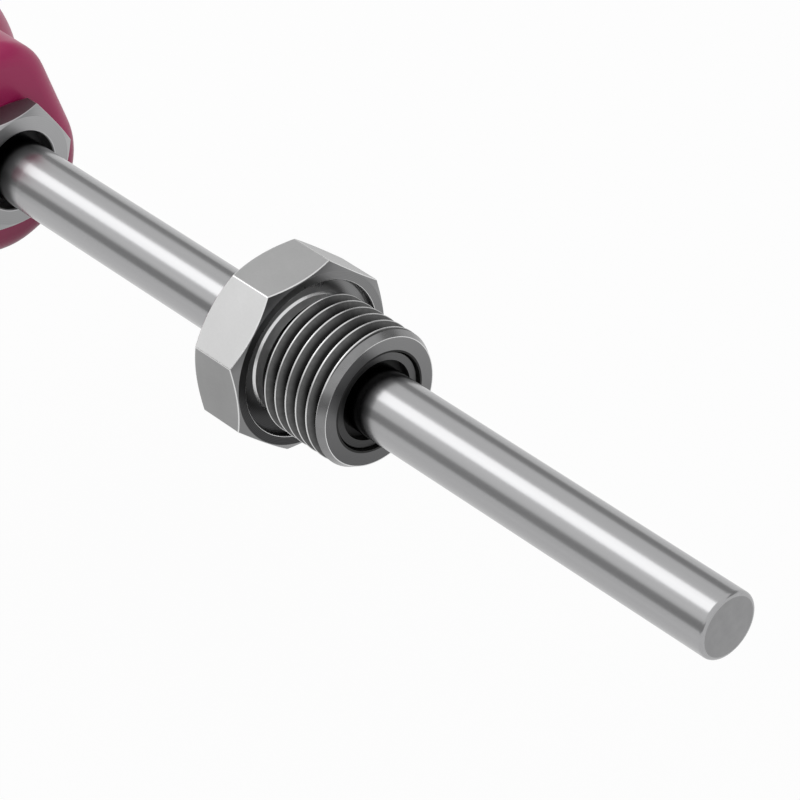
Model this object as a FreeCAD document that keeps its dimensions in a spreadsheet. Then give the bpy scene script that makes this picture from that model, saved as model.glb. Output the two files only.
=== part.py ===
import FreeCAD, Part

import math
import operator
import os

import Sketcher

# Temperature transmitter with a screw-in stem. The stem lies along X with its tip at +X, Z is up,
# and the origin is on the stem's axis at the sealing face of the process fitting.
# Lengths are millimetres and angles are degrees. Distances towards the head, which lies on the
# minus X side of the sealing face, are written as positive numbers.

DRIVING_DIMENSIONS = {
    # Stem
    "sheath_dia": 10.0,
    "sheath_wall": 1.0,
    "sheath_tip": 80.3,
    "sheath_back": 94.5,
    "sheath_floor": 3.0,
    "tip_round": 0.6,
    "element_dia": 6.0,
    "element_length": 16.0,
    "rod_dia": 7.4,
    "rod_gap": 0.5,
    "rod_back": 96.5,
    "wire_dia": 1.0,
    "wire_space": 1.06,
    "wire_bore_dia": 1.2,
    "wire_circle": 4.4,
    "wire_bend": 2.5,
    # Process fitting
    "thread_dia": 20.955,
    "thread_reach": 14.0,
    "thread_chamfer": 0.65,
    "relief_dia": 18.5,
    "relief_width": 0.3,
    "relief_slope": 0.7,
    "seat_dia": 23.9,
    "seat_depth": 1.5,
    "seat_round": 0.5,
    "fitting_sides": 8,
    "fitting_flats": 27.0,
    "fitting_height": 9.2,
    "fitting_corner_angle": 8.6,
    "chamfer_inset": 0.2,
    "chamfer_slope": 0.7,
    "fitting_bore_dia": 15.0,
    "bush_mouth_dia": 12.2,
    "bush_mouth_depth": 4.0,
    "bush_recess": 0.5,
    "bush_joint_width": 0.3,
    "bush_joint_depth": 1.5,
    # Neck nut, its seal and its ferrule
    "nut_sides": 6,
    "nut_front": 66.4,
    "nut_flats": 18.0,
    "nut_corner_angle": 44.0,
    "nut_bore_dia": 12.5,
    "nut_bore_depth": 5.0,
    "nut_seal_depth": 2.8,
    "spigot_dia": 16.0,
    "spigot_length": 10.0,
    "ferrule_length": 3.6,
    "ferrule_dia": 13.9,
    "ferrule_nose_dia": 10.7,
    "ferrule_gap": 0.2,
    "fit_clearance": 0.05,
    "edge_share": 0.25,
    "overlap": 1.0,
    # Head casting
    "block_front": 70.9,
    "block_width": 26.8,
    "block_top": 17.0,
    "block_bottom": 17.2,
    "block_top_round": 9.4,
    "block_bottom_round": 13.0,
    "block_face_round": 3.0,
    "drum_front": 87.2,
    "drum_dia": 41.0,
    "drum_shoulder_round": 9.8,
    "drum_back": 122.0,
    "rim_dia": 39.0,
    "rim_back": 130.0,
    "chamber_dia": 35.6,
    "chamber_floor": 93.0,
    "chamber_round": 5.0,
    "post_dia": 6.0,
    "post_height": 2.0,
    "post_circle": 24.0,
    "post_hole_depth": 5.5,
    # Transmitter module, its screws and terminals
    "module_dia": 31.0,
    "module_height": 12.0,
    "module_hole_dia": 8.4,
    "module_edge": 0.8,
    "screw_dia": 3.0,
    "screw_hole_dia": 3.4,
    "screw_sink_dia": 6.4,
    "screw_sink_depth": 3.0,
    "screw_head_dia": 5.5,
    "screw_head_height": 2.2,
    "terminal_circle": 23.0,
    "terminal_spread": 50.0,
    "loop_spread": 30.0,
    "clamp_dia": 6.0,
    "clamp_height": 1.0,
    "terminal_screw_depth": 6.0,
    # Ground terminal
    "ground_angle": 116.0,
    "ground_circle": 29.2,
    "ground_post_dia": 7.0,
    "ground_post_front": 109.0,
    "ground_post_back": 119.0,
    "ground_clamp_dia": 6.0,
    "ground_screw_dia": 3.0,
    "ground_screw_depth": 7.0,
    "ground_head_dia": 5.6,
    "ground_head_height": 2.2,
    # Cap and its seal
    "cap_dia": 44.6,
    "cap_gap": 0.4,
    "cap_back": 137.0,
    "cap_top": 3.0,
    "cap_edge_round": 2.5,
    "thread_clearance": 0.25,
    "cap_flute_count": 10,
    "cap_flute_dia": 9.0,
    "cap_flute_depth": 1.1,
    "cap_flute_length": 9.0,
    "seal_height": 1.5,
    "seal_width": 2.2,
    # Cable gland
    "gland_station": 110.0,
    "boss_dia": 20.0,
    "boss_reach": 25.5,
    "gland_dia": 16.0,
    "gland_flats": 20.0,
    "gland_hex_height": 5.0,
    "gland_washer_height": 1.0,
    "gland_thread_length": 8.0,
    "gland_neck_length": 9.0,
    "gland_bore_dia": 9.4,
    "gland_seat_dia": 12.0,
    "gland_seat_depth": 7.0,
    "gland_seal_stand": 1.0,
    "cable_hole_dia": 6.5,
    "slip_washer_dia": 14.0,
    "slip_washer_height": 0.8,
    "slip_washer_hole": 8.0,
    "gland_nut_gap": 1.6,
    "gland_nut_crown": 2.6,
    "gland_nut_hole": 9.0,
    "gland_nut_round": 3.4,
    "gland_hex_share": 0.6,
}

OPERATIONS = {
    "+": operator.add,
    "-": operator.sub,
    "*": operator.mul,
    "/": operator.truediv,
}


class Size:
    """A number together with the sheet formula that gives it."""

    def __init__(self, value, formula):
        self.value = value
        self.formula = formula

    def join(self, sign, other):
        other = as_size(other)
        value = OPERATIONS[sign](self.value, other.value)
        return Size(value, f"({self.formula} {sign} {other.formula})")

    def __add__(self, other):
        return self.join("+", other)

    def __radd__(self, other):
        return as_size(other).join("+", self)

    def __sub__(self, other):
        return self.join("-", other)

    def __rsub__(self, other):
        return as_size(other).join("-", self)

    def __mul__(self, other):
        return self.join("*", other)

    def __rmul__(self, other):
        return as_size(other).join("*", self)

    def __truediv__(self, other):
        return self.join("/", other)


class Sizes:
    """The driving dimensions by name."""


class Bend:
    """Marks an outline's next stretch as an arc about a centre."""

    def __init__(self, along, radius, bend):
        self.centre = (along, radius)
        self.bend = bend


def as_size(thing):
    if isinstance(thing, Size):
        return thing
    return Size(float(thing), repr(float(thing)))


def value_of(thing):
    return as_size(thing).value


def bind(thing, path, size):
    thing.setExpression(path, as_size(size).formula)


doc = FreeCAD.newDocument("temperature_transmitter")
sheet = doc.addObject("Spreadsheet::Sheet", "dims")
d = Sizes()
for row, (name, number) in enumerate(DRIVING_DIMENSIONS.items(), start=1):
    sheet.set(f"A{row}", name)
    sheet.set(f"B{row}", str(number))
    sheet.setAlias(f"B{row}", name)
    setattr(d, name, Size(float(number), f"dims.{name}"))
doc.recompute()

# Directions of the axes that pieces are turned about
ALONG = FreeCAD.Rotation()
BACK = FreeCAD.Rotation(FreeCAD.Vector(0, 0, 1), 180)
SIDEWAYS = FreeCAD.Rotation(FreeCAD.Vector(0, 0, 1), -90)
HALF_TURN = 180.0
FULL_TURN = 360.0
QUARTER_TURN = 90.0
TINY = 1e-6
# How a sketch numbers its own origin and axes
SKETCH_ORIGIN = -1
AXIS_ACROSS = -1
AXIS_UP = -2


def place(thing, where, rotation):
    """Turns a piece and ties its place to the sheet."""
    thing.Placement = FreeCAD.Placement(FreeCAD.Vector(), rotation)
    for letter, size in zip("xyz", where):
        bind(thing, f"Placement.Base.{letter}", size)


def pin_point(sketch, curve, end, along, radius):
    """Holds one end of a sketch line at a place given by the sheet."""
    for kind, size, axis in (("DistanceX", along, AXIS_UP), ("DistanceY", radius, AXIS_ACROSS)):
        if abs(value_of(size)) < TINY:
            sketch.addConstraint(Sketcher.Constraint("PointOnObject", curve, end, axis))
            continue
        rule = Sketcher.Constraint(kind, SKETCH_ORIGIN, 1, curve, end, value_of(size))
        bind(sketch, f"Constraints[{sketch.addConstraint(rule)}]", size)


def draw_outline(sketch, outline):
    """Draws a closed outline of points and marked arcs, held by the sheet's sizes."""
    points = []
    bends = {}
    for item in outline:
        if isinstance(item, Bend):
            bends[len(points) - 1] = item
        else:
            points.append(item)
    spots = [FreeCAD.Vector(value_of(a), value_of(r), 0) for a, r in points]
    ends = []
    for i, spot in enumerate(spots):
        after = spots[(i + 1) % len(spots)]
        if i not in bends:
            sketch.addGeometry(Part.LineSegment(spot, after), False)
            ends.append((1, 2))
            continue
        centre = FreeCAD.Vector(*[value_of(c) for c in bends[i].centre], 0)
        first, last = spot - centre, after - centre
        turns_left = first.cross(last).z > 0
        if not turns_left:
            first, last = last, first
        circle = Part.Circle(centre, FreeCAD.Vector(0, 0, 1), first.Length)
        angles = [math.atan2(v.y, v.x) for v in (first, last)]
        sketch.addGeometry(Part.ArcOfCircle(circle, *angles), False)
        ends.append((1, 2) if turns_left else (2, 1))
    for i in range(len(points)):
        after = (i + 1) % len(points)
        joint = Sketcher.Constraint("Coincident", i, ends[i][1], after, ends[after][0])
        sketch.addConstraint(joint)
    for i, (along, radius) in enumerate(points):
        pin_point(sketch, i, ends[i][0], along, radius)
    for i, bend in bends.items():
        rule = Sketcher.Constraint("Radius", i, value_of(bend.bend))
        bind(sketch, f"Constraints[{sketch.addConstraint(rule)}]", bend.bend)


def new_sketch(body, name, role):
    """Puts an empty sketch on one of the body's own planes."""
    sketch = body.newObject("Sketcher::SketchObject", name)
    plane = [p for p in body.Origin.OriginFeatures if p.Role == role][0]
    sketch.AttachmentSupport = [(plane, "")]
    sketch.MapMode = "FlatFace"
    return sketch


def turned(name, outline, start=0, rotation=ALONG):
    """A piece turned about its own X axis, given as points of distance along and radius."""
    body = doc.addObject("PartDesign::Body", name)
    body.Label = name
    sketch = new_sketch(body, f"{name}_outline", "XY_Plane")
    draw_outline(sketch, outline)
    revolution = body.newObject("PartDesign::Revolution", f"{name}_turn")
    revolution.Profile = sketch
    revolution.ReferenceAxis = (sketch, ["H_Axis"])
    revolution.Angle = FULL_TURN
    where = start if isinstance(start, tuple) else (start, 0, 0)
    place(body, where, rotation)
    return body


def rod(name, dia, length, where, rotation=ALONG):
    """A plain round bar along its own X axis."""
    bar = doc.addObject("Part::Cylinder", name)
    bind(bar, "Radius", dia / 2)
    bind(bar, "Height", length)
    stand = FreeCAD.Rotation(FreeCAD.Vector(0, 1, 0), QUARTER_TURN)
    place(bar, where, rotation.multiply(stand))
    return bar


def corner_radius(sides, flats):
    return flats / 2 * (1 / math.cos(math.pi / sides.value))


def flat_sided_bar(name, sides, flats, length, corner_angle, where, rotation=ALONG):
    """A bar with flats along its own X axis and one corner at the given angle from its Y axis."""
    bar = doc.addObject("Part::Prism", name)
    bar.Polygon = int(sides.value)
    bind(bar, "Circumradius", corner_radius(sides, flats))
    bind(bar, "Height", length)
    stand = FreeCAD.Rotation(FreeCAD.Vector(0, 1, 0), QUARTER_TURN)
    corner_at_y = FreeCAD.Rotation(FreeCAD.Vector(0, 0, 1), QUARTER_TURN)
    turn = FreeCAD.Rotation(FreeCAD.Vector(1, 0, 0), value_of(corner_angle))
    place(bar, where, rotation.multiply(turn).multiply(stand).multiply(corner_at_y))
    return bar


def combine(kind, name, base, tool):
    """A boolean of two pieces."""
    result = doc.addObject(kind, name)
    result.Label = name
    result.Base = base
    result.Tool = tool
    return result


def cut(name, base, tool):
    return combine("Part::Cut", name, base, tool)


def fuse(name, base, tool):
    return combine("Part::Fuse", name, base, tool)


def common(name, base, tool):
    return combine("Part::Common", name, base, tool)


def group(name, pieces):
    """Like pieces that stay separate solids under one name."""
    result = doc.addObject("Part::Compound", name)
    result.Label = name
    result.Links = pieces
    return result


def ring(name, inner_dia, outer_dia, length, start, rotation=ALONG):
    """A turned ring with square edges."""
    inner, outer = inner_dia / 2, outer_dia / 2
    return turned(name, [(0, inner), (length, inner), (length, outer), (0, outer)], start, rotation)


def chamfered_bar(name, sides, flats, length, corner_angle, chamfers, where, rotation=ALONG):
    """A flat-sided bar whose corners are turned off at the ends that the pair of flags names."""
    blank = flat_sided_bar(f"{name}_bar", sides, flats, length, corner_angle, where, rotation)
    reach = corner_radius(sides, flats) + d.overlap
    face = flats / 2 - d.chamfer_inset
    drop = (reach - face) * d.chamfer_slope
    near = [(0, face), (drop, reach)] if chamfers[0] else [(0, reach)]
    far = [(length - drop, reach), (length, face)] if chamfers[1] else [(length, reach)]
    corners = turned(f"{name}_corners", [(0, 0)] + near + far + [(length, 0)], where, rotation)
    return common(name, blank, corners)


def polar(circle, angle):
    """Y and Z of a point on a circle about the stem's axis, the angle taken from Y towards Z."""
    turn = math.radians(angle)
    return circle / 2 * math.cos(turn), circle / 2 * math.sin(turn)


# Stem: a tube closed at its tip, with a small round on the tip's edge
def make_sheath():
    length = d.sheath_tip + d.sheath_back
    outer = d.sheath_dia / 2
    inner = outer - d.sheath_wall
    floor = length - d.sheath_floor
    outline = [
        (0, inner), (floor, inner), (floor, 0), (length, 0),
        (length, outer - d.tip_round),
        Bend(length - d.tip_round, outer - d.tip_round, d.tip_round),
        (length - d.tip_round, outer), (0, outer),
    ]
    return turned("sheath_tube", outline, 0 - d.sheath_back)


def element_back():
    return d.sheath_tip - d.sheath_floor - d.element_length


def make_element():
    radius = d.element_dia / 2
    edge = d.tip_round
    outline = [
        (0, 0), (d.element_length, 0), (d.element_length, radius - edge),
        (d.element_length - edge, radius), (0, radius),
    ]
    return turned("sensor_element", outline, element_back())


# Lead wires run through the insulator rod and bend out to the three sensor terminals
def lead_angles():
    return [-d.terminal_spread.value, 0.0, d.terminal_spread.value]


def loop_angles():
    return [HALF_TURN - d.loop_spread.value, HALF_TURN + d.loop_spread.value]


def make_insulator():
    start = 0 - d.rod_back
    length = d.rod_back + element_back() - d.rod_gap
    bar = rod("insulator_bar", d.rod_dia, length, (start, 0, 0))
    bores = []
    for i, angle in enumerate(lead_angles()):
        y, z = polar(d.wire_circle, angle)
        bores.append(rod(f"insulator_bore_{i}", d.wire_bore_dia, length, (start, y, z)))
    return cut("insulator_rod", bar, group("insulator_bores", bores))


def module_back():
    return d.chamber_floor + d.post_height + d.module_height


def make_leads():
    level = module_back() + d.clamp_height + d.wire_space / 2
    bend_start = level - d.wire_bend
    straight = element_back() + bend_start
    reach = (d.terminal_circle - d.wire_circle - d.screw_hole_dia) / 2 - d.wire_bend
    wires = []
    for i, angle in enumerate(lead_angles()):
        y, z = polar(d.wire_circle, angle)
        run = rod(f"lead_run_{i}", d.wire_dia, straight, (0 - bend_start, y, z))
        bow = doc.addObject("Part::Torus", f"lead_bow_{i}")
        bind(bow, "Radius1", d.wire_bend)
        bind(bow, "Radius2", d.wire_dia / 2)
        bow.Angle3 = QUARTER_TURN
        outward = FreeCAD.Vector(0, math.cos(math.radians(angle)), math.sin(math.radians(angle)))
        tip = FreeCAD.Vector(-1, 0, 0)
        axes = FreeCAD.Rotation(tip, outward * -1, tip.cross(outward * -1), "XYZ")
        cy, cz = polar(d.wire_circle + 2 * d.wire_bend, angle)
        place(bow, (0 - bend_start, cy, cz), axes)
        radial = FreeCAD.Rotation(FreeCAD.Vector(1, 0, 0), outward)
        end = rod(f"lead_end_{i}", d.wire_dia, reach, (0 - level, cy, cz), radial)
        wires.append(fuse(f"lead_{i}", fuse(f"lead_bend_{i}", run, bow), end))
    return group("lead_wires", wires)


# Process fitting: eight flats, a sealing face with a recess for a seal, relief and parallel thread
def make_fitting():
    flats = chamfered_bar(
        "fitting_flats", d.fitting_sides, d.fitting_flats, d.fitting_height,
        d.fitting_corner_angle, (True, True), (0 - d.fitting_height, 0, 0))
    seat, bend = d.seat_dia / 2, d.seat_round
    recess = turned("fitting_recess", [
        (0, 0), (0, seat - bend), Bend(bend, seat - bend, bend), (bend, seat),
        (d.seat_depth, seat), (d.seat_depth, 0),
    ], 0 - d.seat_depth)
    major, relief = d.thread_dia / 2, d.relief_dia / 2
    root = d.fitting_height / 2
    shank = turned("fitting_shank", [
        (0, 0), (0, relief), (root + d.relief_width, relief),
        (root + d.relief_width + d.relief_slope, major),
        (root + d.thread_reach - d.thread_chamfer, major),
        (root + d.thread_reach, major - d.thread_chamfer),
        (root + d.thread_reach, 0),
    ], 0 - root)
    blank = fuse("fitting_blank", cut("fitting_seat", flats, recess), shank)
    length = d.fitting_height + d.thread_reach
    bore = d.fitting_bore_dia / 2
    hole = d.sheath_dia / 2
    bore_tool = turned("fitting_bore", [
        (0, 0), (0, hole), (root, hole), (root, bore), (length, bore), (length, 0),
    ], 0 - d.fitting_height)
    return cut("process_fitting", blank, bore_tool)


def make_bush():
    length = d.fitting_height / 2 + d.thread_reach - d.bush_recess
    outer, hole = d.fitting_bore_dia / 2, d.sheath_dia / 2
    mouth = d.bush_mouth_dia / 2
    step = outer - d.bush_joint_width
    return turned("fitting_bush", [
        (0, hole), (length - d.bush_mouth_depth, hole), (length - d.bush_mouth_depth, mouth),
        (length, mouth), (length, step), (length - d.bush_joint_depth, step),
        (length - d.bush_joint_depth, outer), (0, outer),
    ], 0 - d.fitting_height / 2)


# Neck: a nut screwed into the block, a seal in its mouth and a ferrule that grips the stem
def make_neck_nut():
    height = d.block_front - d.nut_front
    flats = chamfered_bar(
        "neck_flats", d.nut_sides, d.nut_flats, height, d.nut_corner_angle, (False, True),
        (0 - d.block_front, 0, 0))
    length = d.spigot_length + height
    spigot = rod(
        "neck_spigot", d.spigot_dia, length - d.overlap, (0 - d.block_front - d.spigot_length, 0, 0))
    hole = d.sheath_dia / 2 + d.fit_clearance
    mouth = d.nut_bore_dia / 2
    depth = length - d.nut_bore_depth
    bore = turned("neck_bore", [
        (0, 0), (0, hole), (depth, hole), (depth, mouth), (length, mouth), (length, 0),
    ], 0 - d.block_front - d.spigot_length)
    return cut("neck_nut", fuse("neck_blank", flats, spigot), bore)


def make_stem_seal():
    length = d.nut_bore_depth - d.nut_seal_depth
    return ring("stem_seal", d.sheath_dia, d.nut_bore_dia, length, 0 - d.nut_front - d.nut_bore_depth)


def make_ferrule():
    hole = d.sheath_dia / 2
    return turned("stem_ferrule", [
        (0, hole), (d.ferrule_length, hole), (d.ferrule_length, d.ferrule_nose_dia / 2),
        (0, d.ferrule_dia / 2),
    ], 0 - d.block_front - d.spigot_length, BACK)


# Head casting: upright neck block with well rounded edges, run into a drum with a round shoulder
def make_head_outside():
    body = doc.addObject("PartDesign::Body", "head_outside")
    block = body.newObject("PartDesign::AdditiveBox", "neck_block")
    bind(block, "Length", d.drum_front + d.drum_shoulder_round - d.block_front)
    bind(block, "Width", d.block_width)
    bind(block, "Height", d.block_top + d.block_bottom)
    bind(block, "Placement.Base.y", 0 - d.block_width / 2)
    bind(block, "Placement.Base.z", 0 - d.block_bottom)
    doc.recompute()
    upper = edges_where(block.Shape, lambda e: runs_along(e) and e.CenterOfMass.z > 0)
    sides = round_edges(body, "block_upper_edges", block, upper, d.block_top_round)
    lower = edges_where(sides.Shape, lambda e: runs_along(e) and e.CenterOfMass.z < 0)
    sides = round_edges(body, "block_lower_edges", sides, lower, d.block_bottom_round)
    face_edges = edges_where(sides.Shape, lambda e: e.BoundBox.XMax < TINY)
    round_edges(body, "block_face", sides, face_edges, d.block_face_round)
    outer, rim = d.drum_dia / 2, d.rim_dia / 2
    front = d.drum_front - d.block_front
    back = d.drum_back - d.block_front
    bend = d.drum_shoulder_round
    sketch = new_sketch(body, "drum_outline", "XY_Plane")
    draw_outline(sketch, [
        (front, 0), (front, outer - bend), Bend(front + bend, outer - bend, bend),
        (front + bend, outer), (back, outer), (back, rim),
        (d.rim_back - d.block_front, rim), (d.rim_back - d.block_front, 0),
    ])
    drum = body.newObject("PartDesign::Revolution", "drum")
    drum.Profile = sketch
    drum.ReferenceAxis = (sketch, ["H_Axis"])
    drum.Angle = FULL_TURN
    place(body, (0 - d.block_front, 0, 0), BACK)
    return body


def runs_along(edge):
    """Tells an edge that lies along X from one that lies across it."""
    return edge.BoundBox.YLength < TINY and edge.BoundBox.ZLength < TINY


def edges_where(shape, test):
    return [f"Edge{i}" for i, edge in enumerate(shape.Edges, start=1) if test(edge)]


def round_edges(body, name, base, edges, radius):
    fillet = body.newObject("PartDesign::Fillet", name)
    fillet.Base = (base, edges)
    bind(fillet, "Radius", radius)
    doc.recompute()
    return fillet


def post_places():
    return [polar(d.post_circle, angle) for angle in (QUARTER_TURN, -QUARTER_TURN)]


def make_head():
    outside = make_head_outside()
    boss = rod("gland_boss", d.boss_dia, d.boss_reach, (0 - d.gland_station, 0, 0), SIDEWAYS)
    casting = fuse("head_casting", outside, boss)
    radius, bend = d.chamber_dia / 2, d.chamber_round
    depth = d.rim_back - d.chamber_floor
    chamber = turned("head_chamber", [
        (0, 0), (0, radius - bend), Bend(bend, radius - bend, bend), (bend, radius),
        (depth, radius), (depth, 0),
    ], 0 - d.chamber_floor, BACK)
    shell = cut("head_shell", casting, chamber)
    posts = []
    for i, (y, z) in enumerate(post_places()):
        height = d.post_height + d.overlap
        where = (d.overlap - d.chamber_floor, y, z)
        posts.append(rod(f"module_post_{i}", d.post_dia, height, where, BACK))
    y, z = polar(d.ground_circle, d.ground_angle.value)
    length = d.ground_post_back - d.ground_post_front
    posts.append(rod("ground_post", d.ground_post_dia, length, (0 - d.ground_post_front, y, z), BACK))
    for i, post in enumerate(posts):
        shell = fuse(f"head_with_post_{i}", shell, post)
    thread = d.spigot_dia / 2 + d.fit_clearance
    nose = d.ferrule_nose_dia / 2 + d.fit_clearance
    seat = d.ferrule_dia / 2 + d.fit_clearance
    seat_start = d.spigot_length + d.ferrule_gap
    through = d.chamber_floor - d.block_front
    stem_hole = turned("stem_hole", [
        (0, 0), (0, thread), (seat_start, thread), (seat_start, seat),
        (seat_start + d.ferrule_length, nose), (through, nose), (through, 0),
    ], 0 - d.block_front, BACK)
    holes = [stem_hole]
    thread = d.gland_dia + 2 * d.fit_clearance
    holes.append(rod("gland_hole", thread, d.boss_reach, (0 - d.gland_station, 0, 0), SIDEWAYS))
    for i, (y, z) in enumerate(post_places()):
        top = d.chamber_floor + d.post_height
        holes.append(rod(f"post_hole_{i}", d.screw_dia, d.post_hole_depth, (0 - top, y, z)))
    y, z = polar(d.ground_circle, d.ground_angle.value)
    hole = (0 - d.ground_post_back, y, z)
    holes.append(rod("ground_hole", d.ground_screw_dia, d.ground_screw_depth, hole))
    return cut("head_body", shell, group("head_holes", holes))


# Transmitter module with its screws and terminals
def terminal_places():
    return [polar(d.terminal_circle, angle) for angle in lead_angles() + loop_angles()]


def make_module():
    hole, outer, edge = d.module_hole_dia / 2, d.module_dia / 2, d.module_edge
    top = d.module_height
    puck = turned("module_puck", [
        (0, hole), (top, hole), (top, outer - edge), (top - edge, outer), (edge, outer),
        (0, outer - edge),
    ], 0 - d.chamber_floor - d.post_height, BACK)
    back = module_back()
    holes = []
    for i, (y, z) in enumerate(post_places()):
        where = (0 - back, y, z)
        holes.append(rod(f"module_hole_{i}", d.screw_hole_dia, d.module_height, where))
        holes.append(rod(f"module_sink_{i}", d.screw_sink_dia, d.screw_sink_depth, where))
    for i, (y, z) in enumerate(terminal_places()):
        depth = d.terminal_screw_depth
        holes.append(rod(f"terminal_hole_{i}", d.screw_dia, depth, (0 - back, y, z)))
    return cut("transmitter_module", puck, multi("module_holes", holes))


def multi(name, pieces):
    """Several pieces run together into one."""
    result = doc.addObject("Part::MultiFuse", name)
    result.Shapes = pieces
    return result


def screw(name, dia, length, head_dia, head_height, where):
    """A pan-head screw whose head's underside is at the given place and whose shank points along X."""
    shank, head = dia / 2, head_dia / 2
    edge = head_height * d.edge_share
    start = where[0] - head_height
    return turned(name, [
        (0, 0), (0, head - edge), (edge, head), (head_height, head), (head_height, shank),
        (head_height + length, shank), (head_height + length, 0),
    ], (start, where[1], where[2]))


def make_module_screws():
    level = 0 - module_back() + d.screw_sink_depth
    length = d.module_height - d.screw_sink_depth + d.post_hole_depth
    screws = []
    for i, (y, z) in enumerate(post_places()):
        where = (level, y, z)
        screws.append(screw(
            f"module_screw_{i}", d.screw_dia, length, d.screw_head_dia, d.screw_head_height, where))
    return group("module_screws", screws)


def make_terminal_clamps():
    clamps = []
    for i, (y, z) in enumerate(terminal_places()):
        where = (0 - module_back(), y, z)
        clamps.append(ring(
            f"clamp_{i}", d.screw_hole_dia, d.clamp_dia, d.clamp_height, where, BACK))
    return group("terminal_clamps", clamps)


def make_terminal_screws():
    stand = d.clamp_height + d.wire_space
    screws = []
    for i, (y, z) in enumerate(terminal_places()):
        where = (0 - module_back() - stand, y, z)
        length = stand + d.terminal_screw_depth
        screws.append(screw(
            f"terminal_screw_{i}", d.screw_dia, length, d.screw_head_dia, d.screw_head_height, where))
    return group("terminal_screws", screws)


def make_ground_clamp():
    y, z = polar(d.ground_circle, d.ground_angle.value)
    hole = d.ground_screw_dia + 2 * d.fit_clearance
    where = (0 - d.ground_post_back, y, z)
    return ring("ground_clamp", hole, d.ground_clamp_dia, d.clamp_height, where, BACK)


def make_ground_screw():
    y, z = polar(d.ground_circle, d.ground_angle.value)
    where = (0 - d.ground_post_back - d.clamp_height, y, z)
    return screw(
        "ground_screw", d.ground_screw_dia, d.clamp_height + d.ground_screw_depth,
        d.ground_head_dia, d.ground_head_height, where)


# Screw cap with finger flutes, and the flat seal that it carries against the casting's rim
def make_cap():
    outer = d.cap_dia / 2
    skirt = d.rim_dia / 2 + d.thread_clearance
    front = d.drum_back + d.cap_gap
    length = d.cap_back - front
    seat = d.rim_back + d.seal_height - front
    inside = length - d.cap_top
    lip = d.rim_dia / 2 - d.seal_width - d.thread_clearance
    bend = d.cap_edge_round
    edge = bend * d.edge_share
    blank = turned("cap_blank", [
        (0, skirt), (seat, skirt), (seat, lip), (inside, lip), (inside, 0), (length, 0),
        (length, outer - bend), Bend(length - bend, outer - bend, bend), (length - bend, outer),
        (edge, outer), (0, outer - edge),
    ], 0 - front, BACK)
    flutes = []
    count = int(d.cap_flute_count.value)
    circle = d.cap_dia + d.cap_flute_dia - 2 * d.cap_flute_depth
    for i in range(count):
        y, z = polar(circle, FULL_TURN * i / count)
        where = (0 - d.cap_back, y, z)
        flutes.append(rod(f"cap_flute_{i}", d.cap_flute_dia, d.cap_flute_length, where))
    return cut("head_cap", blank, group("cap_flutes", flutes))


def make_cap_seal():
    outer = d.rim_dia
    return ring("cap_seal", outer - 2 * d.seal_width, outer, d.seal_height, 0 - d.rim_back, BACK)


# Cable gland on the side of the drum, its axis along minus Y
def gland_place(reach):
    return (0 - d.gland_station, 0 - reach, 0)


def gland_hex_front():
    return d.boss_reach + d.gland_washer_height


def gland_top():
    return gland_hex_front() + d.gland_hex_height + d.gland_neck_length


def make_gland_washer():
    hole = d.gland_dia + 2 * d.fit_clearance
    return ring(
        "gland_washer", hole, d.boss_dia, d.gland_washer_height, gland_place(d.boss_reach), SIDEWAYS)


def make_gland_body():
    flats = chamfered_bar(
        "gland_flats", d.nut_sides, d.gland_flats, d.gland_hex_height, as_size(0), (True, True),
        gland_place(gland_hex_front()), SIDEWAYS)
    start = d.boss_reach - d.gland_thread_length
    length = gland_top() - start
    barrel = rod("gland_barrel", d.gland_dia, length, gland_place(start), SIDEWAYS)
    bore, seat = d.gland_bore_dia / 2, d.gland_seat_dia / 2
    step = length - d.gland_seat_depth
    bore_tool = turned("gland_bore", [
        (0, 0), (0, bore), (step, bore), (step, seat), (length, seat), (length, 0),
    ], gland_place(start), SIDEWAYS)
    return cut("gland_body", fuse("gland_blank", flats, barrel), bore_tool)


def make_gland_seal():
    outer = d.gland_seat_dia - 2 * d.fit_clearance
    length = d.gland_seat_depth + d.gland_seal_stand
    start = gland_top() - d.gland_seat_depth
    return ring("gland_seal", d.cable_hole_dia, outer, length, gland_place(start), SIDEWAYS)


def make_slip_washer():
    start = gland_top() + d.gland_seal_stand
    return ring(
        "gland_slip_washer", d.slip_washer_hole, d.slip_washer_dia, d.slip_washer_height,
        gland_place(start), SIDEWAYS)


def make_gland_nut():
    start = gland_hex_front() + d.gland_hex_height + d.gland_nut_gap
    inside = gland_top() + d.gland_seal_stand + d.slip_washer_height - start
    length = inside + d.gland_nut_crown
    flat_length = length * d.gland_hex_share
    flats = chamfered_bar(
        "gland_nut_flats", d.nut_sides, d.gland_flats, flat_length, as_size(0), (True, True),
        gland_place(start), SIDEWAYS)
    outer = d.gland_flats / 2 - d.chamfer_inset
    bend = d.gland_nut_round
    dome = turned("nut_dome", [
        (flat_length / 2, 0), (flat_length / 2, outer), (length - bend, outer),
        Bend(length - bend, outer - bend, bend), (length, outer - bend), (length, 0),
    ], gland_place(start), SIDEWAYS)
    thread = d.gland_dia / 2 + d.thread_clearance
    hole = d.gland_nut_hole / 2
    bore = turned("nut_bore", [
        (0, 0), (0, thread), (inside, thread), (inside, hole), (length, hole), (length, 0),
    ], gland_place(start), SIDEWAYS)
    return cut("gland_nut", fuse("nut_blank", flats, dome), bore)


PIECES = [
    make_sheath(), make_element(), make_insulator(), make_leads(), make_fitting(), make_bush(),
    make_neck_nut(), make_stem_seal(), make_ferrule(), make_head(), make_module(),
    make_module_screws(), make_terminal_clamps(), make_terminal_screws(), make_ground_clamp(),
    make_ground_screw(), make_cap(), make_cap_seal(), make_gland_washer(), make_gland_body(),
    make_gland_seal(), make_slip_washer(), make_gland_nut(),
]


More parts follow.
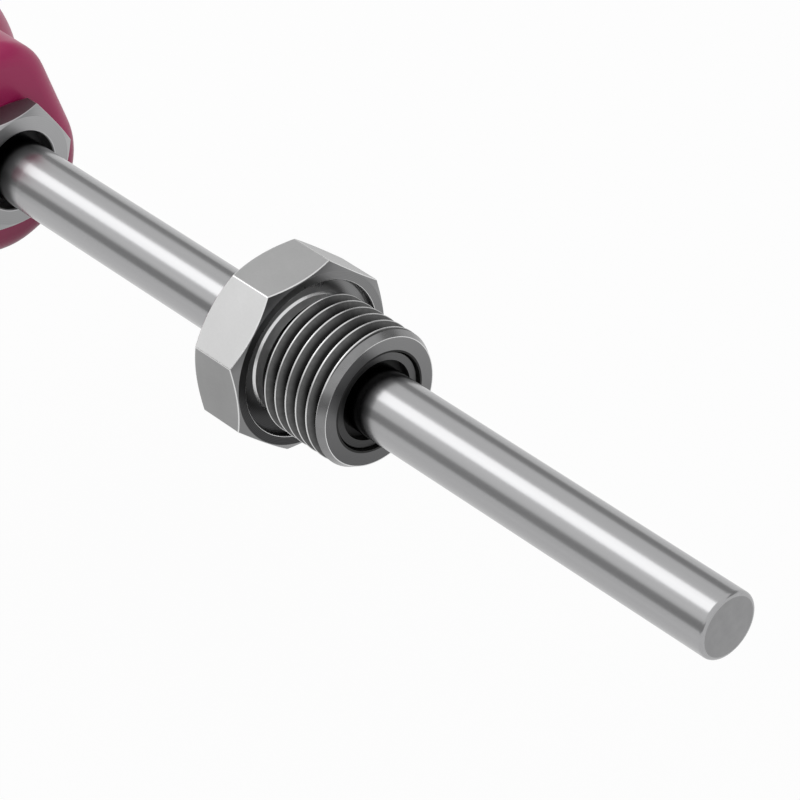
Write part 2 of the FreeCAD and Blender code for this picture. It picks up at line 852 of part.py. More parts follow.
def check_and_write(pieces):
    """Stops at a failed feature or a bad shape, and otherwise writes one file for each piece."""
    doc.recompute()
    for thing in doc.Objects:
        if "Invalid" in thing.State or "Error" in thing.State:
            raise RuntimeError(f"{thing.Name} failed: {thing.State}")
    for piece in pieces:
        if piece.Shape.isNull() or not piece.Shape.isValid():
            raise RuntimeError(f"{piece.Label} has a bad shape")
    os.makedirs("parts", exist_ok=True)
    for piece in pieces:
        piece.Shape.exportStep(f"parts/{piece.Label}.step")
        print(f"{piece.Label}: {len(piece.Shape.Solids)} solid(s), {piece.Shape.Volume:.1f} mm3")


check_and_write(PIECES)
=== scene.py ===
import math

import bmesh
import bpy
from bpy.props import FloatProperty, FloatVectorProperty, IntProperty, PointerProperty
from mathutils import Matrix, Vector


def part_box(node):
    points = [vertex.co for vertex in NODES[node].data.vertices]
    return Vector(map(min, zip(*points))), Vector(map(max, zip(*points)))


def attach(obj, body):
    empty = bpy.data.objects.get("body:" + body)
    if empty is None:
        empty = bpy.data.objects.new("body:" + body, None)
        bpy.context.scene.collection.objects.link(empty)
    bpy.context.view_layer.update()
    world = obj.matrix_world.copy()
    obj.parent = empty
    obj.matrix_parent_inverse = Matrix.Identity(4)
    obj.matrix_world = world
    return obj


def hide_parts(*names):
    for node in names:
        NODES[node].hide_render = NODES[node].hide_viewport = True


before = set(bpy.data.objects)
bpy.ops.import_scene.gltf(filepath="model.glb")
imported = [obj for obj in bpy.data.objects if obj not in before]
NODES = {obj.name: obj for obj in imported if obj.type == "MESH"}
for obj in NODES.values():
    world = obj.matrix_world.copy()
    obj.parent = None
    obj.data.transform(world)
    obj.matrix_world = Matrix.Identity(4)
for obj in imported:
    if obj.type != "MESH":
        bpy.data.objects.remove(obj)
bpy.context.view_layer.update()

bl_info = {
    "name": "Temperature transmitter looks",
    "version": (1, 0, 0),
    "blender": (4, 5, 0),
    "location": "View3D > Sidebar > Transmitter",
    "description": "Dresses the solids of a screw-in temperature transmitter",
    "category": "Object",
}

# The frame's solids and boxes
STEM_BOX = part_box("sheath_tube")
NUT_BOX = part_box("neck_nut")
BODY = "head"

# Units and limits
MM = 0.001
FULL_TURN = 2 * math.pi
SAME_PLACE = 1e-6
MERGE = 1e-7
WELD = 2e-6

# Small sizes of the shapes
STEM_GAP = 0.05 * MM
RECESS_BEND = 0.5 * MM
RELIEF_FILLET = 0.3 * MM
MOUTH_BREAK = 0.25 * MM
BORE_SHOWN = 2 * MM
START_SLOPE = 0.7 * MM
LEAD_STEP = 0.12 * MM
TIP_STEPS = 6
RECESS_STEPS = 4
FACETS_A_FLAT = 20
THREAD_FACETS = 144
RIDGE = (
    (0.0, 0.0), (0.09, 0.02), (0.16, 0.1), (0.42, 0.9), (0.46, 0.98), (0.5, 1.0),
    (0.54, 0.98), (0.58, 0.9), (0.84, 0.1), (0.91, 0.02), (1.0, 0.0),
)

# Angles from which an edge looks sharp or is broken
SHARP_LATHE = math.radians(32)
SHARP_FLATS = math.radians(20)
SHARP_THREAD = math.radians(40)
BROKEN_EDGE = math.radians(38)

# Places of the painted light and shade on the finishes
FLAT_MARGIN = 0.16 * MM
LIGHT_FLAT = math.radians(121.1)
# Painted light and shade on single flats: a lit flat and a shaded flat on the fitting, two shaded
# flats on the nut
FITTING_PAINTED_LIGHT_AND_SHADE = ((LIGHT_FLAT, 0.26), (math.radians(166.1), -0.17))
NUT_FLAT_PAINTED_SHADE = ((math.radians(74.0), -0.3), (math.radians(134.0), -0.2))
PLAIN_FLAT_LEVEL = 0.6
TURNED_LIGHT = math.atan2(0.6, 0.8)
TURNED_SIDE = (-9.0 * MM, 10.0 * MM)
# Painted shade on the fitting's turned corners
CHAMFER_LEAN = 0.15
CHAMFER_SIDE = (14.0 * MM, 9.5 * MM)
THREAD_SIDE = (-4.0 * MM, 9.0 * MM)
# Painted highlight on the thread's crests
CREST_HIGHLIGHT = (0.11 * MM, 0.05 * MM)
# Painted shade towards the bottom of the head
HEAD_PAINTED_SHADE = (-16.0 * MM, -3.0 * MM)
# Painted shade on the stem where it enters the nut's mouth and the bush
STEM_SHADE_AT_NUT = (-0.3 * MM, 5.5 * MM)
STEM_SHADE_AT_BUSH = (13.2 * MM, 17.5 * MM)

# Order of the finishes on the stem, on a flat-sided piece and on the thread
TIP_FACE = 1
FLATS, FACES, EDGES, CHAMFERS = range(4)
END_FACE, RELIEF, HIGHLIGHT_EDGE, JOINT, LEAD = range(1, 6)

# Stage
WHITE = (1.0, 1.0, 1.0, 1.0)
BLACK = (0.0, 0.0, 0.0)
FLOOR_GREY = (0.9, 0.9, 0.9, 1.0)
FLOOR_SIZE = 8.0
LAMPS = (
    ("narrow_top", (-0.55, -0.03, 0.62), (1.0, 0.392)),
    ("wide_top", (-0.6, -0.262, 0.63), (1.0, 0.856)),
)
CARDS = (("card_near", 144.0, 172.0), ("card_far", 2.0, 29.0))
CARD_DISTANCE = 0.8
CARD_ENDS = (-2.0, 1.0)
SENSOR_WIDTH = 36.0
CLIP_RANGE = (0.01, 50.0)
CAMERA_PLACE = (0.341107, -0.166472, 0.387088)
CAMERA_RIGHT = (0.667315, 0.699455, -0.255838)
CAMERA_UP = (-0.427454, 0.640991, 0.637506)


# Sizes and colours that a user would change
class StemLook(bpy.types.PropertyGroup):
    tip_round: FloatProperty(
        name="Tip round", description="Round on the edge of the stem's closed tip",
        default=0.6 * MM, unit="LENGTH", precision=5)
    segments: IntProperty(
        name="Segments", description="Facets round the stem", default=160)
    steel: FloatVectorProperty(
        name="Steel", description="Colour of the drawn tube",
        default=(0.385, 0.385, 0.39), subtype="COLOR", size=3)


class FittingLook(bpy.types.PropertyGroup):
    sides: IntProperty(name="Flats", description="Number of spanner flats", default=8)
    flats: FloatProperty(
        name="Across flats", description="Distance between opposite flats",
        default=27.0 * MM, unit="LENGTH", precision=5)
    height: FloatProperty(
        name="Height", description="Height of the flat-sided part",
        default=9.2 * MM, unit="LENGTH", precision=5)
    corner_angle: FloatProperty(
        name="Corner angle", description="Turn of one corner from the Y axis",
        default=math.radians(8.6), subtype="ANGLE")
    chamfer_inset: FloatProperty(
        name="Chamfer inset", description="How far the end faces stay inside the flats",
        default=0.2 * MM, unit="LENGTH", precision=5)
    chamfer_slope: FloatProperty(
        name="Chamfer slope", description="Depth of the chamfer for each unit of radius",
        default=0.7)
    recess_radius: FloatProperty(
        name="Recess radius", description="Radius of the seal recess in the sealing face",
        default=11.95 * MM, unit="LENGTH", precision=5)
    recess_depth: FloatProperty(
        name="Recess depth", description="Depth of the seal recess",
        default=1.5 * MM, unit="LENGTH", precision=5)
    thread_radius: FloatProperty(
        name="Thread radius", description="Radius over the thread's crests",
        default=10.4775 * MM, unit="LENGTH", precision=6)
    thread_depth: FloatProperty(
        name="Thread depth", description="Height of the thread's ridges",
        default=1.162 * MM, unit="LENGTH", precision=6)
    thread_pitch: FloatProperty(
        name="Thread pitch", description="Distance between neighbouring crests",
        default=2.15 * MM, unit="LENGTH", precision=6)
    thread_reach: FloatProperty(
        name="Thread reach", description="Distance from the sealing face to the thread's end",
        default=14.0 * MM, unit="LENGTH", precision=5)
    thread_start: FloatProperty(
        name="Thread start", description="Where the relief ends and the thread begins",
        default=0.3 * MM, unit="LENGTH", precision=5)
    thread_phase: FloatProperty(
        name="Thread phase", description="Shift of the ridges along the thread",
        default=0.33 * MM, unit="LENGTH", precision=6)
    end_chamfer: FloatProperty(
        name="End chamfer", description="How much thinner the thread's free end is",
        default=0.65 * MM, unit="LENGTH", precision=5)
    lead_length: FloatProperty(
        name="Lead length", description="Length of the smooth cone at the thread's free end",
        default=1.2 * MM, unit="LENGTH", precision=5)
    relief_radius: FloatProperty(
        name="Relief radius", description="Radius of the neck between thread and sealing face",
        default=9.25 * MM, unit="LENGTH", precision=5)
    bore_radius: FloatProperty(
        name="Bore radius", description="Radius of the bore that holds the bush",
        default=7.5 * MM, unit="LENGTH", precision=5)
    joint_line: FloatProperty(
        name="Joint line", description="Width of the dark line round the bush",
        default=0.3 * MM, unit="LENGTH", precision=5)
    flat_steel: FloatVectorProperty(
        name="Milled steel", description="Colour of the flats",
        default=(0.42, 0.42, 0.42), subtype="COLOR", size=3)
    # Shaded and lit copies of the turned steel, for the painted shade and painted light on the
    # turned faces
    shaded_steel: FloatVectorProperty(
        name="Shaded steel", description="Colour of the sealing face on its dark side",
        default=(0.02, 0.02, 0.021), subtype="COLOR", size=3)
    turned_steel: FloatVectorProperty(
        name="Turned steel", description="Colour of the turned faces on their light side",
        default=(0.24, 0.24, 0.242), subtype="COLOR", size=3)
    # Dark copy for the painted shade on the thread's flanks and the chamfers
    flank_steel: FloatVectorProperty(
        name="Flank steel", description="Colour of the dark sides of thread and chamfer",
        default=(0.06, 0.06, 0.061), subtype="COLOR", size=3)
    # Near black for the painted shade in the thread's roots; on the joint lines it is the joints'
    # own dark colour
    root_steel: FloatVectorProperty(
        name="Root steel", description="Colour of the thread's roots and of the joint lines",
        default=(0.006, 0.006, 0.006), subtype="COLOR", size=3)
    # Painted highlight: the edge colour lights up the rounded edges and the thread crests; the
    # edge break below is the real round
    edge_steel: FloatVectorProperty(
        name="Edge steel", description="Colour of worn edges and thread crests",
        default=(0.7, 0.7, 0.7), subtype="COLOR", size=3)
    edge_break: FloatProperty(
        name="Edge break", description="Width of the worn edges",
        default=0.12 * MM, unit="LENGTH", precision=5)


class NeckLook(bpy.types.PropertyGroup):
    sides: IntProperty(name="Flats", description="Number of spanner flats", default=6)
    flats: FloatProperty(
        name="Across flats", description="Distance between opposite flats",
        default=18.0 * MM, unit="LENGTH", precision=5)
    corner_angle: FloatProperty(
        name="Corner angle", description="Turn of one corner from the Y axis",
        default=math.radians(44.0), subtype="ANGLE")
    chamfer_inset: FloatProperty(
        name="Chamfer inset", description="How far the front face stays inside the flats",
        default=0.2 * MM, unit="LENGTH", precision=5)
    chamfer_slope: FloatProperty(
        name="Chamfer slope", description="Depth of the chamfer for each unit of radius",
        default=0.7)
    bore_radius: FloatProperty(
        name="Bore radius", description="Radius of the nut's mouth",
        default=6.25 * MM, unit="LENGTH", precision=5)
    spigot_radius: FloatProperty(
        name="Spigot radius", description="Radius of the threaded part in the head",
        default=8.0 * MM, unit="LENGTH", precision=5)
    spigot_length: FloatProperty(
        name="Spigot length", description="Length of the threaded part in the head",
        default=10.0 * MM, unit="LENGTH", precision=5)
    bore_depth: FloatProperty(
        name="Bore depth", description="Depth of the nut's mouth",
        default=5.0 * MM, unit="LENGTH", precision=5)
    # The nut's rounded edges carry a painted highlight
    edge_break: FloatProperty(
        name="Edge break", description="Width of the worn edges",
        default=0.1 * MM, unit="LENGTH", precision=5)
    steel: FloatVectorProperty(
        name="Steel", description="Colour of the nut",
        default=(0.36, 0.36, 0.365), subtype="COLOR", size=3)


class HeadLook(bpy.types.PropertyGroup):
    paint: FloatVectorProperty(
        name="Paint", description="Colour of the head's coat",
        default=(0.43, 0.011, 0.11), subtype="COLOR", size=3)
    rubber: FloatVectorProperty(
        name="Rubber", description="Colour of the seals",
        default=(0.012, 0.012, 0.012), subtype="COLOR", size=3)
    module: FloatVectorProperty(
        name="Module", description="Colour of the transmitter module",
        default=(0.016, 0.018, 0.022), subtype="COLOR", size=3)
    brass: FloatVectorProperty(
        name="Brass", description="Colour of the terminal clamps",
        default=(0.62, 0.45, 0.18), subtype="COLOR", size=3)
    ceramic: FloatVectorProperty(
        name="Ceramic", description="Colour of the insulator and the element",
        default=(0.72, 0.69, 0.62), subtype="COLOR", size=3)
    plating: FloatVectorProperty(
        name="Plating", description="Colour of the screws",
        default=(0.55, 0.55, 0.53), subtype="COLOR", size=3)
    wire: FloatVectorProperty(
        name="Wire", description="Colour of the tinned wires",
        default=(0.6, 0.58, 0.54), subtype="COLOR", size=3)


class GlandLook(bpy.types.PropertyGroup):
    plastic: FloatVectorProperty(
        name="Plastic", description="Colour of the cable gland",
        default=(0.018, 0.018, 0.02), subtype="COLOR", size=3)
    washer: FloatVectorProperty(
        name="Slip washer", description="Colour of the slip washer",
        default=(0.6, 0.6, 0.57), subtype="COLOR", size=3)


class StageLook(bpy.types.PropertyGroup):
    floor_level: FloatProperty(
        name="Floor level", description="Height of the floor", default=-0.1, unit="LENGTH")
    lens: FloatProperty(
        name="Lens", description="Focal length of the camera", default=176.093, unit="CAMERA")
    narrow_light: FloatProperty(
        name="Narrow light", description="Brightness of the narrow light above", default=1.42)
    wide_light: FloatProperty(
        name="Wide light", description="Brightness of the wide light above", default=0.08)
    room_light: FloatProperty(
        name="Room light", description="Brightness of the room round the part", default=0.55)
    card_level: FloatProperty(
        name="Card level", description="Brightness of the cards beside the part", default=0.4)
    floor_glow: FloatProperty(
        name="Floor glow", description="Share of the floor that is white without light",
        default=0.95)


# Shader maths
class Value:
    """A socket that takes part in plain arithmetic."""

    def __init__(self, finish, socket):
        self.finish = finish
        self.socket = socket

    def reckon(self, operation, first, second):
        """The result of one sum, as a value."""
        return self.finish.node("ShaderNodeMath", {"operation": operation}, {0: first, 1: second})

    def __add__(self, other):
        return self.reckon("ADD", self, other)

    def __radd__(self, other):
        return self.reckon("ADD", other, self)

    def __sub__(self, other):
        return self.reckon("SUBTRACT", self, other)

    def __rsub__(self, other):
        return self.reckon("SUBTRACT", other, self)

    def __mul__(self, other):
        return self.reckon("MULTIPLY", self, other)

    def __rmul__(self, other):
        return self.reckon("MULTIPLY", other, self)

    def __pow__(self, other):
        return self.reckon("POWER", self, other)


class Finish:
    """A material, or the world, and the nodes that make it."""

    def __init__(self, owner):
        self.owner = owner
        owner.use_nodes = True
        self.tree = owner.node_tree
        self.tree.nodes.clear()

    def node(self, kind, settings=None, inputs=None, output=0):
        """Adds a node, sets it up, feeds its sockets and gives back one of its outputs."""
        made = self.tree.nodes.new(kind)
        for name, value in (settings or {}).items():
            setattr(made, name, value)
        for name, value in (inputs or {}).items():
            if isinstance(value, Value):
                self.tree.links.new(value.socket, made.inputs[name])
            else:
                made.inputs[name].default_value = value
        return Value(self, made.outputs[output]) if made.outputs else None

    def place(self):
        """The point on the piece, in metres."""
        return self.node("ShaderNodeTexCoord", output="Object")

    def noise(self, scale, detail=3.0, stretch=(1.0, 1.0, 1.0)):
        """Soft random spots, which a small stretch draws out along an axis."""
        where = self.node("ShaderNodeMapping", None, {"Vector": self.place(), "Scale": stretch})
        return self.node(
            "ShaderNodeTexNoise", None, {"Vector": where, "Scale": scale, "Detail": detail})

    def tint(self, amount, dark, light):
        """A colour between two colours."""
        return self.node(
            "ShaderNodeMix", {"data_type": "RGBA"},
            {0: amount, 6: (*dark, 1.0), 7: (*light, 1.0)}, output=2)

    def along(self, axis):
        """One coordinate of the point on the piece, in metres."""
        return self.node("ShaderNodeSeparateXYZ", None, {0: self.place()}, output=axis)

    def towards(self, angle):
        """How far the point lies from the stem's axis in the given direction, in metres."""
        return self.along("Y") * math.cos(angle) + self.along("Z") * math.sin(angle)

    def radius(self):
        """Distance from the stem's axis, in metres."""
        y, z = self.along("Y"), self.along("Z")
        return (y * y + z * z) ** 0.5

    def step(self, amount, low, high):
        """Nought up to the low mark, one from the high mark on, and even between them."""
        return self.node(
            "ShaderNodeMapRange", {"clamp": True},
            {"Value": amount, "From Min": low, "From Max": high})

    def wave(self, phase):
        """Even ups and downs between minus one and one."""
        return self.node("ShaderNodeMath", {"operation": "SINE"}, {0: phase})

    def bump(self, height, strength, distance):
        """The surface's direction where it has fine relief."""
        return self.node(
            "ShaderNodeBump", None,
            {"Height": height, "Strength": strength, "Distance": distance})

    def surface(self, inputs):
        """Ends the material with its shader and gives it back."""
        shader = self.node("ShaderNodeBsdfPrincipled", None, inputs)
        self.node("ShaderNodeOutputMaterial", None, {"Surface": shader})
        return self.owner


# Finishes
def new_finish(name):
    """A new material, ready for its nodes."""
    return Finish(bpy.data.materials.new(name))


def shade(colour, share):
    """A darker or lighter copy of a colour."""
    return tuple(min(1.0, part * share) for part in colour)


def drawn_steel(name, colour, dark_ends):
    """Polished tube with faint streaks along its length, with painted shade where it leaves a
    socket.
    """
    finish = new_finish(name)
    streaks = finish.noise(scale=900.0, detail=2.0, stretch=(0.02, 1.0, 1.0))
    cloud = finish.noise(scale=60.0)
    level = streaks * 0.13 + 0.87
    place = finish.along("X")
    # Painted shade: the tube darkens towards each socket's mouth
    for dark, clear in dark_ends:
        inside = finish.step(place, dark - (clear - dark), dark)
        level = level * (1.0 - inside + finish.step(place, dark, clear) ** 2.0 * inside)
    return finish.surface({
        "Base Color": finish.tint(level, shade(colour, 0.06), shade(colour, 1.06)),
        "Metallic": 1.0,
        "Roughness": 0.16 + cloud * 0.06 + streaks * 0.05,
        "Normal": finish.bump(streaks, strength=0.06, distance=0.02 * MM),
    })


def milled_steel(name, colour, apothem, painted_light):
    """Milled flats with a fine speckle, some of them painted lighter and some darker as painted
    light and shade.
    """
    finish = new_finish(name)
    speckle = finish.noise(scale=2600.0, detail=2.0)
    cloud = finish.noise(scale=140.0)
    level = 0.52 + cloud * 0.1 + speckle * 0.07
    # Painted light and shade: each listed flat is painted lighter or darker than the rest
    for angle, change in painted_light:
        onto = finish.step(
            finish.towards(angle), apothem - FLAT_MARGIN, apothem - FLAT_MARGIN / 4)
        level = level + onto * change
    return finish.surface({
        "Base Color": finish.tint(level, BLACK, shade(colour, 1 / PLAIN_FLAT_LEVEL)),
        "Metallic": 1.0,
        "Roughness": 0.36 + speckle * 0.1,
        "Normal": finish.bump(speckle, strength=0.08, distance=0.03 * MM),
    })


def turned_steel(name, dark, light, roughness, groove=0.22 * MM, depth=0.35):
    """Turned faces with fine rings about the stem's axis, painted lighter towards the lit side
    and darker away from it as painted light and shade.
    """
    finish = new_finish(name)
    wander = finish.noise(scale=500.0)
    rings = finish.wave(finish.radius() * (FULL_TURN / groove) + wander * 3.0)
    level = rings * 0.5 + 0.5
    # Painted light and shade: the lit copy towards the light, the shaded copy away from it
    side = finish.step(finish.towards(TURNED_LIGHT), *TURNED_SIDE)
    return finish.surface({
        "Base Color": finish.tint(side * 0.76 + level * 0.16 + wander * 0.08, dark, light),
        "Metallic": 1.0,
        "Roughness": roughness + wander * 0.1,
        "Normal": finish.bump(level, strength=depth, distance=0.01 * MM),
    })


def threaded_steel(name, look):
    """Roots painted black as painted shade, dark flanks, and crests with a painted highlight, all
    painted brightest on the lit side.
    """
    finish = new_finish(name)
    cloud = finish.noise(scale=260.0)
    streaks = finish.noise(scale=1500.0, detail=2.0, stretch=(0.15, 1.0, 1.0))
    reach = finish.radius()
    top, root = look.thread_radius, look.thread_radius - look.thread_depth
    # Painted shade: the roots are black and the flanks darken towards them
    rise = finish.step(reach, root, root + 0.7 * look.thread_depth)
    # Painted highlight along the crests
    crest_highlight = finish.step(reach, *(top - below for below in CREST_HIGHLIGHT))
    flank = look.flank_steel[0] / look.edge_steel[0]
    # Painted light: flanks and crests are lighter towards the lit side
    side = finish.step(finish.towards(LIGHT_FLAT), *THREAD_SIDE)
    level = rise * flank * (0.5 + streaks + side * 0.7) + crest_highlight * (0.3 + side * 0.7)
    return finish.surface({
        "Base Color": finish.tint(level, look.root_steel, look.edge_steel),
        "Metallic": 1.0,
        "Roughness": 0.2 + cloud * 0.16,
    })


def chamfered_steel(name, dark, light):
    """Turned corners with painted shade, darkest on the side between the light flat and the top.
    """
    finish = new_finish(name)
    cloud = finish.noise(scale=500.0)
    across = finish.along("Z") - finish.along("Y") * CHAMFER_LEAN
    side = finish.step(across, *CHAMFER_SIDE)
    return finish.surface({
        "Base Color": finish.tint(side * 0.85 + cloud * 0.15, dark, light),
        "Metallic": 1.0,
        "Roughness": 0.3 + cloud * 0.1,
    })


def plain_steel(name, colour, roughness):
    """Small plated pieces with a faint cloudiness."""
    finish = new_finish(name)
    cloud = finish.noise(scale=700.0)
    return finish.surface({
        "Base Color": finish.tint(cloud, shade(colour, 0.85), shade(colour, 1.15)),
        "Metallic": 1.0,
        "Roughness": roughness + cloud * 0.12,
    })


def coat(name, colour, underside_shade):
    """Satin paint with a slight orange peel, painted darker towards the bottom as painted shade.
    """
    finish = new_finish(name)
    peel = finish.noise(scale=900.0, detail=2.0)
    cloud = finish.noise(scale=35.0)
    # Painted shade: the paint darkens towards the bottom
    upper = finish.step(finish.along("Z"), *HEAD_PAINTED_SHADE)
    level = upper * 0.88 + cloud * 0.12
    return finish.surface({
        "Base Color": finish.tint(level, shade(colour, underside_shade), shade(colour, 1.06)),
        "Roughness": 0.38 + cloud * 0.06,
        "Specular IOR Level": 0.42,
        "Coat Weight": 0.12,
        "Coat Roughness": 0.2,
        "Normal": finish.bump(peel, strength=0.08, distance=0.04 * MM),
    })


def dull(name, colour, roughness, grain=1500.0):
    """Rubber, plastic or ceramic with a fine grain."""
    finish = new_finish(name)
    speck = finish.noise(scale=grain, detail=2.0)
    return finish.surface({
        "Base Color": finish.tint(speck, shade(colour, 0.8), shade(colour, 1.25)),
        "Roughness": roughness + speck * 0.12,
        "Normal": finish.bump(speck, strength=0.12, distance=0.04 * MM),
    })


# Modelling helpers
def polygon_radius(angle, corner, sides, apothem):
    """Distance from the axis to a flat-sided outline in the given direction."""
    step = FULL_TURN / sides
    return apothem / math.cos((angle - corner) % step - step / 2)


def start_ring(bm, count, corner):
    """A circle of edges about the X axis with one point at the given angle."""
    turn = Matrix.Rotation(corner, 4, "X") @ Matrix.Rotation(math.pi / 2, 4, "Y")
    made = bmesh.ops.create_circle(bm, cap_ends=False, radius=1.0, segments=count, matrix=turn)
    verts = made["verts"]
    return verts, list({edge for vert in verts for edge in vert.link_edges})


def set_ring(verts, rule):
    """Puts each point of a ring at the place along and the radius that the rule gives."""
    for vert in verts:
        angle = math.atan2(vert.co.z, vert.co.y)
        along, radius = rule(angle)
        vert.co = (along, radius * math.cos(angle), radius * math.sin(angle))


def next_ring(bm, edges, rule, material):
    """Draws a ring of edges out to a new ring."""
    made = bmesh.ops.extrude_edge_only(bm, edges=edges)["geom"]
    verts = [item for item in made if isinstance(item, bmesh.types.BMVert)]
    for face in made:
        if isinstance(face, bmesh.types.BMFace):
            face.material_index = material
    set_ring(verts, rule)
    return [item for item in made if isinstance(item, bmesh.types.BMEdge)]


def level_ring(along, radius):
    """The rule of a plain circle across the axis."""
    return lambda angle: (along, radius)


def boundary_at(bm, along):
    """Open edges in the plane at the given place along the axis."""
    return [
        edge for edge in bm.edges
        if edge.is_boundary and all(abs(vert.co.x - along) < SAME_PLACE for vert in edge.verts)
    ]


def piece(name, bm, materials, replaced, sharp=SHARP_LATHE):
    """Makes a finished object of a mesh, lets it ride on the body and hides the solid that it
    replaces.
    """
    bmesh.ops.recalc_face_normals(bm, faces=bm.faces)
    mesh = bpy.data.meshes.new(name)
    bm.to_mesh(mesh)
    bm.free()
    mesh.shade_smooth()
    mesh.set_sharp_from_angle(angle=sharp)
    for material in materials:
        mesh.materials.append(material)
    made = bpy.data.objects.new(name, mesh)
    bpy.context.scene.collection.objects.link(made)
    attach(made, BODY)
    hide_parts(replaced)
    return made


def soften(made, width):
    """Breaks a piece's sharp edges with a small round that takes the edge finish, a painted
    highlight.
    """
    rounded = made.modifiers.new("edge_break", "BEVEL")
    rounded.width = width
    rounded.segments = 2
    rounded.limit_method = "ANGLE"
    rounded.angle_limit = BROKEN_EDGE
    rounded.material = EDGES
    rounded.harden_normals = True


def finish_node(name, material):
    """Gives one of the solids its finish."""
    mesh = NODES[name].data
    mesh.materials.clear()
    mesh.materials.append(material)


def flat_sided(bm, look, front, back, rings_in, rings_out):
    """A closed flat-sided collar with turned-off corners, with the rings before and after it."""
    apothem = look.flats / 2
    face = apothem - look.chamfer_inset

    def edge(place, lean):
        def rule(angle):
            reach = polygon_radius(angle, look.corner_angle, look.sides, apothem)
            return place + lean * (reach - face) * look.chamfer_slope, reach
        return rule

    verts, first = start_ring(bm, look.sides * FACETS_A_FLAT, look.corner_angle)
    set_ring(verts, rings_in[0])
    edges = first
    for rule in rings_in[1:]:
        edges = next_ring(bm, edges, rule, FACES)
    edges = next_ring(bm, edges, level_ring(back, face), FACES)
    edges = next_ring(bm, edges, edge(back, 1.0), CHAMFERS)
    edges = next_ring(bm, edges, edge(front, -1.0), FLATS)
    edges = next_ring(bm, edges, level_ring(front, face), CHAMFERS)
    for rule in rings_out:
        edges = next_ring(bm, edges, rule, FACES)
    bmesh.ops.bridge_loops(bm, edges=first + edges)
    bmesh.ops.remove_doubles(bm, verts=bm.verts, dist=MERGE)


# Steps that dress the part
class TRANSMITTER_OT_stem(bpy.types.Operator):
    """Turns the stem and gives it its drawn finish"""
    bl_idname = "transmitter.stem"
    bl_label = "Stem"

    def execute(self, context):
        look = context.scene.transmitter.stem
        back, tip = STEM_BOX[0].x, STEM_BOX[1].x
        radius = STEM_BOX[1].z
        bm = bmesh.new()
        bend = look.tip_round
        corner = [
            (tip - bend + bend * math.sin(turn), radius - bend + bend * math.cos(turn))
            for turn in (FULL_TURN / 4 * step / TIP_STEPS for step in range(TIP_STEPS + 1))
        ]
        outline = [(back, 0.0), (back, radius), *corner, (tip, 0.0)]
        verts = [bm.verts.new((along, 0.0, out)) for along, out in outline]
        edges = [bm.edges.new(pair) for pair in zip(verts, verts[1:])]
        bmesh.ops.spin(
            bm, geom=verts + edges, axis=(1, 0, 0), cent=(0, 0, 0), angle=FULL_TURN,
            steps=look.segments, use_merge=True)
        bmesh.ops.remove_doubles(bm, verts=bm.verts, dist=MERGE)
        for face in bm.faces:
            if min(vert.co.x for vert in face.verts) > tip - SAME_PLACE:
                face.material_index = TIP_FACE
        stem_shade_at_nut = tuple(NUT_BOX[1].x + place for place in STEM_SHADE_AT_NUT)
        finishes = [
            drawn_steel("drawn_stem", look.steel, (stem_shade_at_nut, STEM_SHADE_AT_BUSH)),
            plain_steel("tip_steel", shade(look.steel, 0.75), roughness=0.3),
        ]
        piece("stem", bm, finishes, "sheath_tube")
        return {"FINISHED"}


